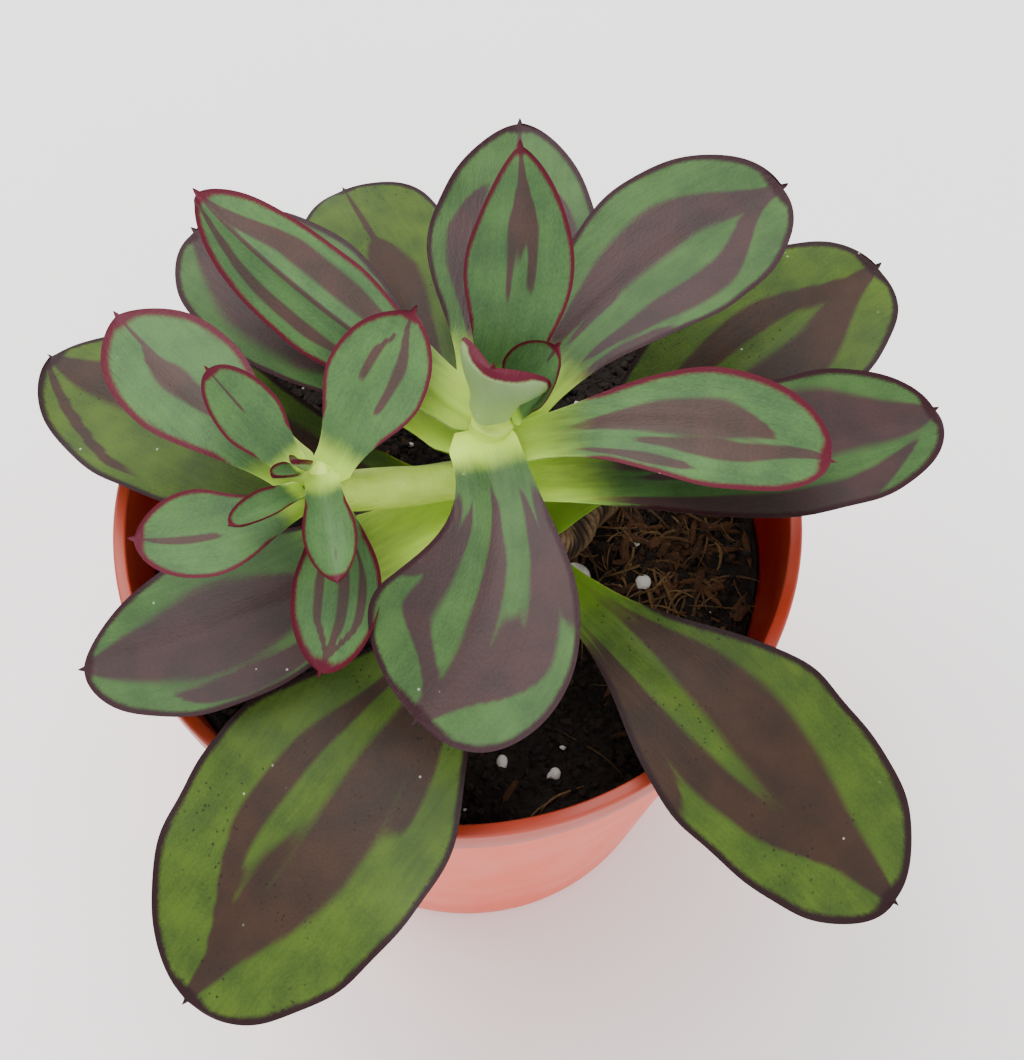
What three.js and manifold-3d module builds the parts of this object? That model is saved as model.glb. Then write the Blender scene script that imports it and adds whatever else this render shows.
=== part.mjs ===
// Potted echeveria: a thin-walled round nursery pot, potting soil, a woody trunk with one side shoot,
// and the leaves of the main crown and of the side crown, each leaf a closed solid of its own.
// Millimetres, +Z up, +X to the right, the front is -Y. The origin is the centre of the pot's foot.
import * as THREE from "three";
import Module from "manifold-3d";

const wasm = await Module();
wasm.setup();
const { Manifold, Mesh, CrossSection } = wasm;

// ---------------------------------------------------------------- driving sizes
const GAP = 0.3; // left between two pieces that touch
const POT_HEIGHT = 92;
const RIM_RADIUS = 52.5;
const LIP_WIDTH = 2; // flat ring on top of the rim
const COLLAR_HEIGHT = 7;
const COLLAR_STEP = 0.7; // the wall under the collar stands back by this much
const WALL = 1.2;
const FOOT_RADIUS = 37.8;
const FOOT_INNER_RADIUS = 30;
const PAD_RADIUS = 12; // flat pad in the middle of the underside
const GROOVE = 2.2; // the ring between pad and foot is raised by this much
const DRAIN_HOLES = 8;
const DRAIN_DIAMETER = 5;
const DRAIN_CIRCLE_RADIUS = 21;
const POT_STEPS = 60;

const SOIL_LEVEL = 78; // mean height of the soil above the foot
const SOIL_DIP = 12; // how far the soil has sunk against the front right wall
const SOIL_DIP_ANGLE = -38; // degrees round from +X
const SOIL_RINGS = 9;
const SOIL_STEPS = 40;

const LEAF_STATIONS = 12; // rings of vertices along a leaf
const LEAF_CELLS = 6; // cells across a leaf
const MUCRO = 1.4; // the small hard point past the end of the blade

// ---------------------------------------------------------------- finishes
const FINISH = {
  pot: { color: 0xc0472a, roughness: 0.45, metalness: 0 },
  soil: { color: 0x1c1613, roughness: 0.95, metalness: 0 },
  bark: { color: 0x8a7355, roughness: 0.85, metalness: 0 },
  shoot: { color: 0xb9c873, roughness: 0.5, metalness: 0 },
  perlite: { color: 0xe4e0d8, roughness: 0.9, metalness: 0 },
  young: { color: 0x6f8f63, roughness: 0.5, metalness: 0 },
  mature: { color: 0x5b5a42, roughness: 0.5, metalness: 0 },
  old: { color: 0x4d6a2c, roughness: 0.45, metalness: 0 },
};

// ---------------------------------------------------------------- the leaves
// root and tip: the two ends of the midline; heights are counted from the rim. wid: widest place.
// bow / side: how far the midline bulges upwards / to its left. roll: the left edge lifted, degrees.
// cup: half angle of the hollow across. turn: the left half bent down, degrees. thick: at the middle.
// neck: width of the stalk as a share of wid. belly: where along the leaf it is widest.
// rise: how late the stalk widens. blunt, point: shape of the end.
const LEAF_DEFAULTS = {
  bow: 0, side: 0, roll: 0, cup: 12, turn: 0, thick: 2.4, neck: 0.34, belly: 0.64,
  rise: 1.15, blunt: 2.2, point: 0.5, finish: "mature",
};
const LEAVES = {
  leaf_centre_front: { root: [4.8, -5, 35.5], tip: [5.6, -3.7, 44.5], wid: 16.5, cup: 58, roll: 180,
    thick: 1.3, neck: 0.4, belly: 0.7, blunt: 3, finish: "young" },
  leaf_centre_back: { root: [8, -4, 34], tip: [14, 0, 44], wid: 10, cup: 46, thick: 1.2,
    neck: 0.5, belly: 0.5, point: 0.6, finish: "young" },
  leaf_back_young: { root: [6, -1, 34], tip: [9, 20, 60], wid: 14.8, side: -1.5, cup: 22,
    neck: 0.5, belly: 0.5, blunt: 1.8, point: 0.75, thick: 2, finish: "young" },
  leaf_back_right: { root: [8, -2, 31], tip: [46.5, 32, 37], wid: 25.5, bow: 1, side: 3, belly: 0.66 },
  leaf_back_left_upper: { root: [2, -3, 34], tip: [-35, 24, 45], wid: 17, side: 1, roll: 14, cup: 8,
    turn: 60, neck: 0.45, belly: 0.55, point: 0.6, thick: 2, finish: "young" },
  leaf_right_upper: { root: [9, -7, 31], tip: [51, -10, 32], wid: 17.8, bow: 3, side: 2, roll: 6,
    cup: 18, finish: "young" },
  leaf_front: { root: [4.2, -8, 32.5], tip: [-4, -44.5, 24], wid: 28, bow: 3, side: 6, belly: 0.7,
    blunt: 3 },
  leaf_back: { root: [5, 0, 30], tip: [9, 45, 35], wid: 24.5, side: -1, neck: 0.4, belly: 0.52,
    blunt: 2, point: 0.66 },
  leaf_back_left_lower: { root: [0, -3, 28], tip: [-39, 32, 26], wid: 25, bow: 1, cup: 10,
    belly: 0.6 },
  leaf_right_lower: { root: [8, -10, 26], tip: [69, 5.5, 20], wid: 22, bow: 3, side: -4.5, roll: 4,
    cup: 14, neck: 0.3, belly: 0.66 },
  leaf_back_left_old: { root: [2, 0, 25], tip: [-19, 51, 12], wid: 24, bow: 3, cup: 10, belly: 0.6,
    point: 0.58, thick: 2.2, finish: "old" },
  leaf_front_left: { root: [0, -10, 18], tip: [-53, -29, 4], wid: 25, bow: 2, side: 4, cup: 8,
    neck: 0.4, belly: 0.6, point: 0.62 },
  leaf_left_old: { root: [3, -7, 12], tip: [-63, 21.5, 8], wid: 27.5, bow: 1, side: 4, cup: 10,
    neck: 0.28, belly: 0.66, point: 0.6, thick: 2.2, finish: "old" },
  leaf_right_old: { root: [13, -4, 5], tip: [65, 36.5, 12], wid: 29.5, bow: 2, cup: 10, neck: 0.28,
    belly: 0.66, thick: 2.2, finish: "old" },
  leaf_front_left_old: { root: [9, -10, 5], tip: [-36.5, -73, -9], wid: 38, bow: 9, side: 2.5,
    cup: 8, neck: 0.2, belly: 0.6, rise: 1.8, blunt: 2.3, point: 0.52, finish: "old" },
  leaf_front_right_old: { root: [12.8, -11.2, 1], tip: [62.8, -58.5, -9], wid: 31, bow: 8, side: -1.2,
    cup: 8, neck: 0.22, belly: 0.6, rise: 1.4, finish: "old" },
  side_leaf_bud_left: { root: [-20, -13, 34], tip: [-23, -16, 38], wid: 3, cup: 40, thick: 0.8,
    neck: 0.7, belly: 0.4, point: 0.8, finish: "young" },
  side_leaf_bud_right: { root: [-19, -12, 34], tip: [-20, -15, 40], wid: 3, cup: 40, thick: 0.8,
    neck: 0.7, belly: 0.4, point: 0.8, finish: "young" },
  side_leaf_front_inner: { root: [-17, -14, 33], tip: [-14, -30, 35], wid: 8, cup: 50, neck: 0.6,
    belly: 0.6, thick: 1.3, finish: "young" },
  side_leaf_left_small: { root: [-20, -15, 32], tip: [-28, -23, 37], wid: 5, cup: 50, neck: 0.6,
    belly: 0.5, point: 0.7, thick: 1, finish: "young" },
  side_leaf_left_inner: { root: [-21, -12, 33], tip: [-32, -2, 41], wid: 9, cup: 16, neck: 0.5,
    belly: 0.5, point: 0.65, thick: 1.4, finish: "young" },
  side_leaf_right: { root: [-16, -11, 31], tip: [-5, 6, 43], wid: 15, cup: 14, neck: 0.4,
    belly: 0.55, point: 0.75, thick: 1.8, finish: "young" },
  side_leaf_left: { root: [-21, -11, 30], tip: [-47, 12, 33], wid: 18, side: 1, cup: 10, neck: 0.4,
    belly: 0.6, point: 0.7, thick: 2, finish: "young" },
  side_leaf_front_left: { root: [-21, -15, 29], tip: [-41, -23, 33], wid: 13.5, side: 2, neck: 0.4,
    belly: 0.6, point: 0.62, thick: 1.8, finish: "young" },
  side_leaf_front: { root: [-17, -15, 30], tip: [-17, -37, 22], wid: 13.5, bow: 2, side: 2.5,
    cup: 50, neck: 0.4, belly: 0.55, point: 0.62, thick: 1.6, finish: "young" },
};

// Perlite grains lying in the soil: centre x, y and mean radius.
const PERLITE = [
  [18, -5, 2.5], [29, -6, 1.3], [28, 1, 0.9], [-8, -3, 1.8], [-25, -28, 1.6], [7, -36, 1.1],
  [15, -37, 1],
];

// ---------------------------------------------------------------- helpers
const rad = THREE.MathUtils.degToRad;
const vec = (x, y, z) => new THREE.Vector3(x, y, z);

// A closed solid from a list of points and a list of triangles.
function solidFrom(points, triangles) {
  const vertProperties = new Float32Array(points.flatMap((p) => [p.x, p.y, p.z]));
  return new Manifold(new Mesh({ numProp: 3, vertProperties, triVerts: new Uint32Array(triangles) }));
}

// A closed solid through rings of equal length, one end closed by the point `start`, one by `end`.
function loft(rings, start, end) {
  const n = rings[0].length;
  const points = [...rings.flat(), start, end];
  const triangles = [];
  for (let i = 0; i < n; i += 1) {
    const j = (i + 1) % n;
    for (let k = 0; k + 1 < rings.length; k += 1) {
      const [a, b, c, d] = [k * n + i, k * n + j, (k + 1) * n + i, (k + 1) * n + j];
      triangles.push(a, b, c, b, d, c);
    }
    const last = (rings.length - 1) * n;
    triangles.push(j, i, points.length - 2, last + i, last + j, points.length - 1);
  }
  return solidFrom(points, triangles);
}

function meshOf(name, solid, finish) {
  const data = solid.getMesh();
  const geometry = new THREE.BufferGeometry();
  geometry.setAttribute("position", new THREE.BufferAttribute(data.vertProperties, 3));
  geometry.setIndex(new THREE.BufferAttribute(data.triVerts, 1));
  geometry.computeVertexNormals();
  const mesh = new THREE.Mesh(geometry, new THREE.MeshStandardMaterial(FINISH[finish]));
  mesh.name = name;
  return mesh;
}

// The largest body of a solid; slivers left by a cut are dropped.
function largest(solid) {
  return solid.decompose().reduce((a, b) => (b.volume() > a.volume() ? b : a));
}

// ---------------------------------------------------------------- pot
function potSolid() {
  const body = RIM_RADIUS - COLLAR_STEP;
  const under = POT_HEIGHT - COLLAR_HEIGHT;
  const outer = [
    [0, 0], [PAD_RADIUS, 0], [PAD_RADIUS + 1, GROOVE], [FOOT_INNER_RADIUS - 1, GROOVE],
    [FOOT_INNER_RADIUS, 0], [FOOT_RADIUS - 1, 0], [FOOT_RADIUS, 1], [body - 1.3, under],
    [RIM_RADIUS - 0.6, under + 0.4], [RIM_RADIUS, POT_HEIGHT - 0.6], [RIM_RADIUS - 0.5, POT_HEIGHT],
  ];
  const inner = [
    [RIM_RADIUS - LIP_WIDTH, POT_HEIGHT], [RIM_RADIUS - LIP_WIDTH - 0.4, POT_HEIGHT - 0.6],
    [body - 1.3 - WALL, under], [FOOT_RADIUS - WALL, 1 + WALL], [FOOT_RADIUS - 1.6, WALL],
    [FOOT_INNER_RADIUS + 0.6, WALL], [FOOT_INNER_RADIUS - 0.4, GROOVE + WALL],
    [PAD_RADIUS + 0.4, GROOVE + WALL], [PAD_RADIUS - 0.6, WALL], [0, WALL],
  ];
  let pot = Manifold.revolve(new CrossSection([[...outer, ...inner]], "NonZero"), POT_STEPS);
  for (let i = 0; i < DRAIN_HOLES; i += 1) {
    const turn = rad((360 * (i + 0.5)) / DRAIN_HOLES);
    pot = pot.subtract(
      Manifold.cylinder(10, DRAIN_DIAMETER / 2, DRAIN_DIAMETER / 2, 16).translate([
        DRAIN_CIRCLE_RADIUS * Math.cos(turn), DRAIN_CIRCLE_RADIUS * Math.sin(turn), -2,
      ]),
    );
  }
  return pot;
}

// ---------------------------------------------------------------- soil
function soilHeight(x, y) {
  const angle = Math.atan2(y, x) - rad(SOIL_DIP_ANGLE);
  const out = Math.hypot(x, y) / (RIM_RADIUS - 4);
  const dip = SOIL_DIP * Math.exp(-((angle / 0.6) ** 2)) * Math.max(0, out - 0.35) ** 1.3;
  const crumbs = 0.8 * Math.sin(x / 4 + 1) * Math.cos(y / 5) + 0.6 * Math.sin((x + y) / 3.1);
  return SOIL_LEVEL - dip + crumbs;
}

// Inner radius of the pot at a height.
function boreRadius(z) {
  const low = 1 + WALL;
  const high = POT_HEIGHT - COLLAR_HEIGHT;
  const top = RIM_RADIUS - COLLAR_STEP - 1.3 - WALL;
  return FOOT_RADIUS - WALL + ((top - FOOT_RADIUS + WALL) * (z - low)) / (high - low);
}

function soilSolid() {
  const ring = (radiusOf, heightOf) =>
    Array.from({ length: SOIL_STEPS }, (_, i) => {
      const turn = (2 * Math.PI * i) / SOIL_STEPS;
      const r = radiusOf(turn);
      const [x, y] = [r * Math.cos(turn), r * Math.sin(turn)];
      return vec(x, y, heightOf(x, y));
    });
  const floor = GROOVE + WALL + GAP;
  const clear = GAP / Math.cos(Math.PI / POT_STEPS) + 0.15;
  const edge = (turn) => {
    const level = soilHeight(48 * Math.cos(turn), 48 * Math.sin(turn));
    return boreRadius(level) - clear;
  };
  const rings = [
    ring(() => 14, () => floor),
    ring(() => boreRadius(floor) - clear, () => floor),
    ring(edge, soilHeight),
  ];
  for (let k = SOIL_RINGS - 1; k > 0; k -= 1)
    rings.push(ring((turn) => (edge(turn) * k) / SOIL_RINGS, soilHeight));
  return loft(rings, vec(0, 0, floor), vec(0, 0, soilHeight(0, 0)));
}

// ---------------------------------------------------------------- stems
// A round stem through points given with heights from the rim; ridge: leaf-scar rings on the bark.
function stemSolid(path, radius, ridge, grow = 0) {
  const curve = new THREE.CatmullRomCurve3(path.map(([x, y, z]) => vec(x, y, z + POT_HEIGHT)));
  const stations = 24;
  const frames = curve.computeFrenetFrames(stations, false);
  const rings = Array.from({ length: stations + 1 }, (_, k) => {
    const centre = curve.getPointAt(k / stations);
    const r = radius * (1 + (ridge * (k % 2 ? 1 : -1)) / 2) + grow;
    return Array.from({ length: 12 }, (_, i) => {
      const turn = (2 * Math.PI * i) / 12;
      return centre
        .clone()
        .addScaledVector(frames.normals[k], r * Math.cos(turn))
        .addScaledVector(frames.binormals[k], r * Math.sin(turn));
    });
  });
  const ends = [0, 1].map((t) =>
    curve.getPointAt(t).addScaledVector(curve.getTangentAt(t), (t * 2 - 1) * (0.8 + grow)));
  const solid = loft(rings, ends[0], ends[1]);
  return solid.volume() > 0 ? solid : loft(rings.reverse(), ends[1], ends[0]);
}
const TRUNK = [[27, 15, -20], [21, 5, -9], [14.5, -6.5, 0], [8, -8, 14], [5, -6, 26], [5.5, -4.5, 33]];
const SHOOT = [[5, -7.5, 23], [-5, -9.5, 23.5], [-14, -11.5, 25.5], [-18.5, -12.5, 30]];

// ---------------------------------------------------------------- leaves
function leafSolid(given, grow = 0) {
  const leaf = { ...LEAF_DEFAULTS, ...given };
  const root = vec(...leaf.root);
  const tip = vec(...leaf.tip);
  const chord = tip.clone().sub(root);
  const left = vec(-chord.y, chord.x, 0).normalize();
  const up = chord.clone().cross(left).normalize();
  const knee = root.clone().add(tip).multiplyScalar(0.5)
    .addScaledVector(up, 2 * leaf.bow).addScaledVector(left, 2 * leaf.side);
  const midline = new THREE.QuadraticBezierCurve3(root, knee, tip);

  // Half width at a share s of the midline.
  const halfWidth = (s) => {
    const x = Math.min(s / leaf.belly, 1);
    const y = Math.max((s - leaf.belly) / (1 - leaf.belly), 0);
    const widening = (x * x * (3 - 2 * x)) ** leaf.rise;
    const closing = (1 - y ** leaf.blunt) ** leaf.point;
    return (leaf.wid / 2) * (leaf.neck + (1 - leaf.neck) * widening) * closing;
  };
  // The two directions square to the midline: towards the left edge, and out of the upper face.
  const axes = (tangent) => {
    const level = vec(-tangent.y, tangent.x, 0).normalize();
    const normal = tangent.clone().cross(level);
    const [c, s] = [Math.cos(rad(leaf.roll)), Math.sin(rad(leaf.roll))];
    return [
      level.clone().multiplyScalar(c).addScaledVector(normal, s),
      normal.clone().multiplyScalar(c).addScaledVector(level, -s),
    ];
  };
  const station = (s) => {
    const tangent = knee.clone().sub(root).multiplyScalar(1 - s)
      .addScaledVector(tip.clone().sub(knee), s).normalize();
    const [across, out] = axes(tangent);
    const centre = midline.getPoint(s).addScaledVector(tangent, s === 0 ? -grow : 0);
    const half = halfWidth(s) + grow;
    const cup = rad(leaf.cup) * (0.4 + 0.6 * Math.min(s / 0.3, 1));
    const bend = rad(leaf.turn);
    const thick = leaf.thick * (1.3 - 0.5 * s) * Math.min(1, 6 * (1 - s) + 0.25) + 2 * grow;
    const at = (u, under) => {
      let a = (half * Math.sin(cup * u)) / cup;
      let h = (half * (1 - Math.cos(cup * u))) / cup;
      if (bend && u > 0) [a, h] = [a * Math.cos(bend), h * Math.cos(bend) - a * Math.sin(bend)];
      h += grow * (1 - u * u) - (under ? thick * Math.sqrt(1 - u * u) : 0);
      return centre.clone().addScaledVector(across, a).addScaledVector(out, h);
    };
    const steps = Array.from({ length: LEAF_CELLS + 1 }, (_, j) => -1 + (2 * j) / LEAF_CELLS);
    return [
      ...steps.map((u) => at(u, false)),
      ...steps.slice(1, -1).reverse().map((u) => at(u, true)),
    ];
  };
  const rings = Array.from({ length: LEAF_STATIONS }, (_, k) =>
    station(0.985 * (1 - (1 - k / (LEAF_STATIONS - 1)) ** 1.4)));
  const start = root.clone().addScaledVector(knee.clone().sub(root).normalize(), -grow)
    .addScaledVector(axes(knee.clone().sub(root).normalize())[1], -0.4 * leaf.thick);
  const end = tip.clone().addScaledVector(tip.clone().sub(knee).normalize(), MUCRO + grow);
  const solid = loft(rings, start, end);
  return (solid.volume() > 0 ? solid : loft(rings.reverse(), end, start))
    .translate([0, 0, POT_HEIGHT]);
}

// ---------------------------------------------------------------- assembly
const pieces = [];
pieces.push(["pot", potSolid(), "pot"]);

const trunkClear = stemSolid(TRUNK, 3, 0.16, GAP);
const shootClear = stemSolid(SHOOT, 2.8, 0, GAP);
pieces.push(["trunk", stemSolid(TRUNK, 3, 0.16), "bark"]);
pieces.push(["side_shoot", largest(stemSolid(SHOOT, 2.8, 0).subtract(trunkClear)), "shoot"]);

// Every leaf gives way to the stems and to the leaves listed before it.
const taken = [trunkClear, shootClear];
for (const [name, leaf] of Object.entries(LEAVES)) {
  const solid = taken.reduce((rest, other) => rest.subtract(other), leafSolid(leaf));
  pieces.push([name, largest(solid), leaf.finish ?? LEAF_DEFAULTS.finish]);
  taken.push(leafSolid(leaf, GAP));
}

let soil = soilSolid().subtract(trunkClear);
PERLITE.forEach(([x, y, r], i) => {
  const grain = (size) => Manifold.sphere(size, 12).scale([1.15, 0.95, 0.8]).rotate([20 * i, 0, 50 * i])
    .translate([x, y, soilHeight(x, y) + 0.35 * r]);
  pieces.push([`perlite_${i + 1}`, grain(r), "perlite"]);
  soil = soil.subtract(grain(r + GAP));
});
pieces.push(["soil", largest(soil), "soil"]);

const group = new THREE.Group();
for (const [name, solid, finish] of pieces) group.add(meshOf(name, solid, finish));

export default group;
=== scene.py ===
"""Potted echeveria: a striped rosette succulent with a side shoot in a round nursery pot.

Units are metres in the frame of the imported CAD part: +Z up, +X right, the front is -Y, and the
origin is the centre of the pot's foot. Sizes in the classes below are millimetres.
"""

import logging
import math
from dataclasses import dataclass, field
from enum import Enum

import bpy
import numpy as np
from mathutils import Matrix, Vector

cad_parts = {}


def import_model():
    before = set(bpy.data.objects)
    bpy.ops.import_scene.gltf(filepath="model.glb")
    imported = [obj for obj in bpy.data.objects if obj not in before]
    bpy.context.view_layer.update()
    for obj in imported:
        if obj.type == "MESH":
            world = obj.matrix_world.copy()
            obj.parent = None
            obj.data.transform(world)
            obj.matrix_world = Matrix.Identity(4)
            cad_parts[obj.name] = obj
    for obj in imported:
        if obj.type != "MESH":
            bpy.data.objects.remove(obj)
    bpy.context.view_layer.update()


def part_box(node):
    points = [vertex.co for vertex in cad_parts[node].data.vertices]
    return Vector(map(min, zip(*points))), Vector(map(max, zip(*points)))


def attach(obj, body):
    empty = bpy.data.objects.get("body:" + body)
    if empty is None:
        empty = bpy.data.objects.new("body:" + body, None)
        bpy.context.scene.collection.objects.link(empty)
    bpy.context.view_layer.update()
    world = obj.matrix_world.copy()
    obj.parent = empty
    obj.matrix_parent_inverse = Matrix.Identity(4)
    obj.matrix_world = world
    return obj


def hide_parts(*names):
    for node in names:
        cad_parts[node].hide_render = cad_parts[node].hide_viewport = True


LOG = logging.getLogger("echeveria")
MM = 0.001
SEED = 20
Socket = bpy.types.NodeSocket


# ---------------------------------------------------------------- colour, nodes, meshes
def linear(hex_colour: int) -> tuple[float, float, float, float]:
    """Turn an sRGB hex colour into linear RGBA.

    Each channel c in 0..1 becomes ((c + 0.055) / 1.055) ** 2.4, or c / 12.92 below 0.04045.

    Args:
        hex_colour: 0xRRGGBB.

    Returns:
        Linear red, green, blue and an alpha of 1.
    """
    out = []
    for shift in (16, 8, 0):
        c = ((hex_colour >> shift) & 255) / 255
        out.append(c / 12.92 if c < 0.04045 else ((c + 0.055) / 1.055) ** 2.4)
    return (out[0], out[1], out[2], 1.0)


def add(
    tree: bpy.types.NodeTree, kind: str, inputs: dict | None = None, **settings: object,
) -> bpy.types.Node:
    """Add one shader node.

    Args:
        tree: the material's or world's node tree.
        kind: the node's type without its ShaderNode prefix.
        inputs: socket name or number to a constant, or to an output socket to link.
        settings: the node's own properties.

    Returns:
        The new node.
    """
    made = tree.nodes.new("ShaderNode" + kind)
    for key, value in settings.items():
        setattr(made, key, value)
    for key, value in (inputs or {}).items():
        if isinstance(value, Socket):
            tree.links.new(value, made.inputs[key])
        else:
            made.inputs[key].default_value = value
    return made


@dataclass
class Shader:
    """A Principled material under construction, with the few graph idioms that the finishes share."""

    name: str
    tree: bpy.types.NodeTree = field(init=False)
    material: bpy.types.Material = field(init=False)
    body: bpy.types.Node = field(init=False)
    place: Socket = field(init=False)

    def __post_init__(self) -> None:
        """Make the empty material with one Principled shader and the object's own coordinates."""
        self.material = bpy.data.materials.new(self.name)
        self.material.use_nodes = True
        self.tree = self.material.node_tree
        self.tree.nodes.clear()
        self.body = add(self.tree, "BsdfPrincipled")
        add(self.tree, "OutputMaterial", {"Surface": self.body.outputs["BSDF"]})
        self.place = add(self.tree, "TexCoord").outputs["Object"]

    def attribute(self, name: str) -> Socket:
        """Return the mesh's own attribute as a number."""
        return add(self.tree, "Attribute", attribute_name=name).outputs["Fac"]

    def noise(self, size_mm: float, detail: float = 3.0, where: Socket | None = None) -> Socket:
        """Return noise from 0 to 1 whose features are size_mm across."""
        return add(self.tree, "TexNoise", {
            "Vector": where or self.place, "Scale": 1 / (size_mm * MM), "Detail": detail,
        }).outputs["Fac"]

    def stretch(self, where: Socket, factors: tuple[float, float, float]) -> Socket:
        """Return coordinates multiplied by one factor per axis."""
        return add(self.tree, "VectorMath", {0: where, 1: factors}, operation="MULTIPLY").outputs[0]

    def math(self, kind: str, a: object, b: object) -> Socket:
        """Return a combined with b by one arithmetic operation."""
        return add(self.tree, "Math", {0: a, 1: b}, operation=kind).outputs[0]

    def plus(self, a: object, b: object) -> Socket:
        """Return a plus b."""
        return self.math("ADD", a, b)

    def times(self, a: object, b: object) -> Socket:
        """Return a times b."""
        return self.math("MULTIPLY", a, b)

    def ramp(
        self, value: Socket, low: float, high: float, to: tuple[float, float] = (0.0, 1.0),
    ) -> Socket:
        """Return value eased from to[0] at low to to[1] at high, by 3t^2 - 2t^3."""
        return add(self.tree, "MapRange", {
            "Value": value, "From Min": low, "From Max": high, "To Min": to[0], "To Max": to[1],
        }, interpolation_type="SMOOTHSTEP").outputs["Result"]

    def mix(self, share: object, a: object, b: object) -> Socket:
        """Return colour a turned into colour b by a share from 0 to 1; ints are sRGB hex."""
        a, b = (linear(c) if isinstance(c, int) else c for c in (a, b))
        return add(self.tree, "Mix", {0: share, 6: a, 7: b}, data_type="RGBA").outputs[2]

    def bump(self, height: Socket, depth_mm: float) -> None:
        """Raise the surface by height times depth_mm, for the light only."""
        made = add(self.tree, "Bump", {"Height": height, "Distance": depth_mm * MM, "Strength": 1.0})
        self.tree.links.new(made.outputs["Normal"], self.body.inputs["Normal"])

    def set(self, **values: object) -> None:
        """Set the Principled sockets; underscores stand for the spaces in their names."""
        for key, value in values.items():
            socket = self.body.inputs[key.replace("_", " ")]
            if isinstance(value, Socket):
                self.tree.links.new(value, socket)
            else:
                socket.default_value = linear(value) if isinstance(value, int) else value


def mesh_object(
    name: str, points: np.ndarray, faces: list, material: bpy.types.Material,
    attributes: dict[str, np.ndarray] | None = None,
) -> bpy.types.Object:
    """Make a smooth-shaded object at the origin.

    Args:
        name: the piece's name.
        points: vertex positions in millimetres, one row each.
        faces: tuples of vertex numbers, counter-clockwise from outside.
        material: its only material.
        attributes: name to one number per vertex.

    Returns:
        The linked object.
    """
    mesh = bpy.data.meshes.new(name)
    mesh.from_pydata((np.asarray(points) * MM).tolist(), [], faces)
    for key, values in (attributes or {}).items():
        layer = mesh.attributes.new(key, "FLOAT", "POINT")
        layer.data.foreach_set("value", np.asarray(values, np.float32).ravel())
    mesh.polygons.foreach_set("use_smooth", np.ones(len(mesh.polygons), bool))
    mesh.materials.append(material)
    mesh.update()
    made = bpy.data.objects.new(name, mesh)
    bpy.context.scene.collection.objects.link(made)
    return made


def tube_faces(rings: int, around: int) -> list[tuple[int, ...]]:
    """Faces of a closed tube whose vertices are rings * around, then its start and end points.

    Args:
        rings: number of rings.
        around: vertices in a ring, counter-clockwise seen from the end.

    Returns:
        Quads along the wall and a fan of triangles at each end.
    """
    k, i = np.meshgrid(np.arange(rings - 1), np.arange(around), indexing="ij")
    j = (i + 1) % around
    quads = np.stack([k * around + i, k * around + j, (k + 1) * around + j, (k + 1) * around + i], -1)
    faces = [tuple(q) for q in quads.reshape(-1, 4).tolist()]
    start, end, last = rings * around, rings * around + 1, (rings - 1) * around
    for a in range(around):
        b = (a + 1) % around
        faces += [(b, a, start), (last + a, last + b, end)]
    return faces


def dress(piece: bpy.types.Object, slot: str, *nodes: str) -> bpy.types.Object:
    """Let a piece ride the one body and stand for CAD nodes.

    Args:
        piece: the object.
        slot: the record's material slot; not used.
        nodes: the CAD nodes it stands for.

    Returns:
        The same object.
    """
    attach(piece, "root")
    if nodes:
        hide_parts(*nodes)
    LOG.info("%s: %d faces", piece.name, len(piece.data.polygons))
    return piece


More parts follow.
